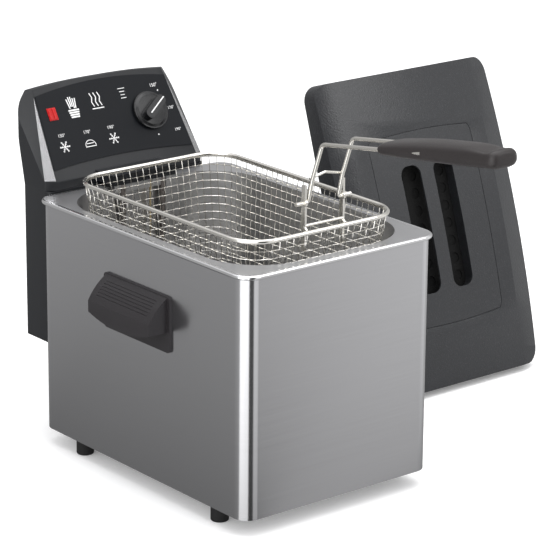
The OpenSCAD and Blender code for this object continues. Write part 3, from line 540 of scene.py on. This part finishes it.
grip_ring(ring_verts, GRIP_STATIONS[0])
bmesh.ops.contextual_create(bm, geom=ring_verts + list({e for v in ring_verts for e in v.link_edges}))
for station in GRIP_STATIONS[1:]:
    edges = [bm.edges.get((a, b)) for a, b in zip(ring_verts, ring_verts[1:] + ring_verts[:1])]
    made = bmesh.ops.extrude_edge_only(bm, edges=edges)["geom"]
    fresh = [item for item in made if isinstance(item, bmesh.types.BMVert)]
    ring_verts = [next(n for n in fresh if (n.co - old.co).length < 1e-9) for old in ring_verts]
    grip_ring(ring_verts, station)
bmesh.ops.contextual_create(bm, geom=ring_verts + [bm.edges.get((a, b)) for a, b in zip(
    ring_verts, ring_verts[1:] + ring_verts[:1])])
bmesh.ops.recalc_face_normals(bm, faces=bm.faces)
grip_piece = shown("grip_moulding", bm, GRIP, "basket_handle")
smooth = grip_piece.modifiers.new("smooth", "SUBSURF")
smooth.levels = smooth.render_levels = 2
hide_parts("grip")
print("grip", len(grip_piece.data.vertices), "points before smoothing")

# %% [markdown]
# ## The printed panel
# The panel is one dark film with its scale and pictures printed in pale ink.
# The knob's joint gives the panel's middle, its slope and its outward
# direction, so print lands on the film wherever the film is. Numbers come from
# a text object made into a mesh; pictures are a few flat strokes.

# %% Panel places
knob_joint = next(j for j in frame["record"]["behaviour"]["joints"] if j["name"] == "knob_turn")
OUT = Vector(knob_joint["axis"]).normalized()
UP_FACE = X.cross(OUT) * -1
if UP_FACE.z < 0:
    UP_FACE = -UP_FACE
KNOB_AT = Vector(knob_joint["pos_m"])
KNOB_X, KNOB_V = 50, 46


def on_panel(x, v, lift=0.05):
    """A place on the film: x from its middle and v up from its lower edge, in millimetres."""
    at = KNOB_AT + (X * (x - KNOB_X) + UP_FACE * (v - KNOB_V) + OUT * lift) / 1000
    return Matrix.Translation(at) @ Matrix((X, UP_FACE, OUT)).transposed().to_4x4()


# %% Ink strokes
ink = bmesh.new()
INK_THICK = 0.00006


def stroke(x, v, length, thick, turn=0.0):
    """A flat bar of ink, centred at x, v and turned by degrees."""
    made = bmesh.ops.create_cube(ink, size=1)["verts"]
    bmesh.ops.scale(ink, verts=made, vec=(length / 1000, thick / 1000, INK_THICK))
    bmesh.ops.rotate(ink, verts=made, matrix=Matrix.Rotation(radians(turn), 3, "Z"))
    bmesh.ops.transform(ink, verts=made, matrix=on_panel(x, v))


def dot(x, v, radius):
    made = bmesh.ops.create_cone(ink, cap_ends=True, segments=16, radius1=radius / 1000,
                                 radius2=radius / 1000, depth=INK_THICK)["verts"]
    bmesh.ops.transform(ink, verts=made, matrix=on_panel(x, v))


def number(text, x, v, size):
    letters = bpy.data.curves.new("number", "FONT")
    letters.body, letters.size, letters.extrude = text, size / 1000, 0.00003
    letters.align_x, letters.align_y = "CENTER", "CENTER"
    made = bpy.data.objects.new("number", letters)
    scene.collection.objects.link(made)
    flat = bpy.data.meshes.new_from_object(made.evaluated_get(bpy.context.evaluated_depsgraph_get()))
    flat.transform(on_panel(x, v))
    ink.from_mesh(flat)
    bpy.data.objects.remove(made)
    bpy.data.curves.remove(letters)
    bpy.data.meshes.remove(flat)


def flake(x, v, size):
    """Six arms with barbs, for frozen food."""
    for turn in range(0, 180, 60):
        stroke(x, v, size, 0.9, turn)
    for turn in range(0, 360, 60):
        for side in (-28, 28):
            reach = size * 0.34
            stroke(x + reach * cos(radians(turn)), v + reach * sin(radians(turn)), size * 0.26, 0.7,
                   turn + side)


number("150°", 65.6, 73.5, 5.4)
number("170°", 78.5, 45.6, 4.6)
number("190°", 78.5, 20.5, 4.6)
dot(69, 67, 0.8)
dot(52, 18.7, 0.8)
number("150°", -68, 36.5, 5.0)
number("170°", -36, 35.5, 5.0)
number("190°", -5, 36, 5.0)
flake(-68, 24, 13)
flake(-5, 23.6, 13)
for step in range(9):
    bend = radians(20 * step + 10)
    stroke(-36 + 6.4 * cos(bend), 20.5 + 6.0 * sin(bend), 2.5, 0.8, degrees(bend) + 90)
stroke(-36, 19.6, 13.6, 0.9)
stroke(-36, 23, 9, 0.8)
for x, lean in ((-47.5, 9), (-45.2, 4), (-43, 0), (-40.8, -4), (-38.5, -9)):
    stroke(x, 69 + (2 if lean in (4, 0) else 0), 11, 1.3, 90 + lean)
for v, length in ((61.5, 13.5), (59, 12.6), (56.5, 11.6), (54, 10.6)):
    stroke(-43, v, length, 1.7)
for x in (-17, -12, -7):
    for v, lean in ((74, 20), (69, -20), (64, 20)):
        stroke(x, v, 5.6, 1.1, 90 + lean)
stroke(-12, 59, 15, 1.1)
for v, length in ((76, 9), (72.4, 6.5), (68.8, 5.5), (65.2, 7)):
    stroke(23.5, v, length, 0.7)
print_piece = shown("panel_print", ink, WHITE, "control_unit", smooth=False)
print("panel print:", len(print_piece.data.polygons), "faces")

# %% [markdown]
# ## Pointer, lamp and painted highlight
# Small bright parts draw the eye: a white line let into the knob's bar, two
# moulded bars on the lamp's red lens, and a silver sheet at each end of the
# sloping face that paints the glare of light on the console's dark chamfers.
# The pointer turns with the knob, so it rides on the knob's body.

# %% Pointer
POINTER_TURN = 35
bm = bmesh.new()
made = bmesh.ops.create_cube(bm, size=1)["verts"]
bmesh.ops.scale(bm, verts=made, vec=(0.027, 0.0014, 0.0006))
bmesh.ops.translate(bm, verts=made, vec=(0.0025, 0, 0))
bmesh.ops.bevel(bm, geom=bm.edges[:], offset=0.0002, affect="EDGES", segments=2, profile=0.5, material=-1)
bmesh.ops.rotate(bm, verts=bm.verts, matrix=Matrix.Rotation(radians(POINTER_TURN), 3, "Z"))
KNOB_TALL = 15.0
bmesh.ops.transform(bm, verts=bm.verts, matrix=on_panel(KNOB_X, KNOB_V, KNOB_TALL + 0.05))
shown("knob_pointer", bm, WHITE, "knob")

# %% Lens bars
bm = bmesh.new()
for x in (-2.6, 2.6):
    made = bmesh.ops.create_cube(bm, size=1)["verts"]
    bmesh.ops.scale(bm, verts=made, vec=(0.0036, 0.0122, 0.0012))
    bmesh.ops.transform(bm, verts=made, matrix=on_panel(-70.5 + x, 61, 1.0))
bmesh.ops.bevel(bm, geom=bm.edges[:], offset=0.0004, affect="EDGES", segments=3, profile=0.5, material=-1)
shown("lens_bars", bm, LENS_RED, "control_unit")

# %% Painted highlight facets
# Painted highlight: each facet is a thin silver sheet laid on the console's dark chamfer where light glares
# on it.
FOOT, EAR = Vector((0.092, 0.18143, 0.2772)), Vector((0.102, 0.18793, 0.2772))
HEAD = Vector((0.085, 0.23266, 0.35968))
bm = bmesh.new()
facet_out = (EAR - FOOT).cross(HEAD - FOOT).normalized()
corners = [bm.verts.new(corner + facet_out * 0.0002) for corner in (
    FOOT.lerp(HEAD, 0.015), EAR.lerp(HEAD, 0.015), HEAD.lerp(FOOT, 0.03).lerp(EAR, 0.02),
    HEAD.lerp(FOOT, 0.04))]
face = bm.faces.new(corners)
bmesh.ops.solidify(bm, geom=[face], thickness=0.0003)
bmesh.ops.mirror(bm, geom=bm.verts[:] + bm.edges[:] + bm.faces[:], axis="X", merge_dist=1e-7)
bmesh.ops.recalc_face_normals(bm, faces=bm.faces)
shown("painted_glare_facet", bm, PAINTED_GLARE, "control_unit", smooth=False)
print("trim, pointer and lens made")
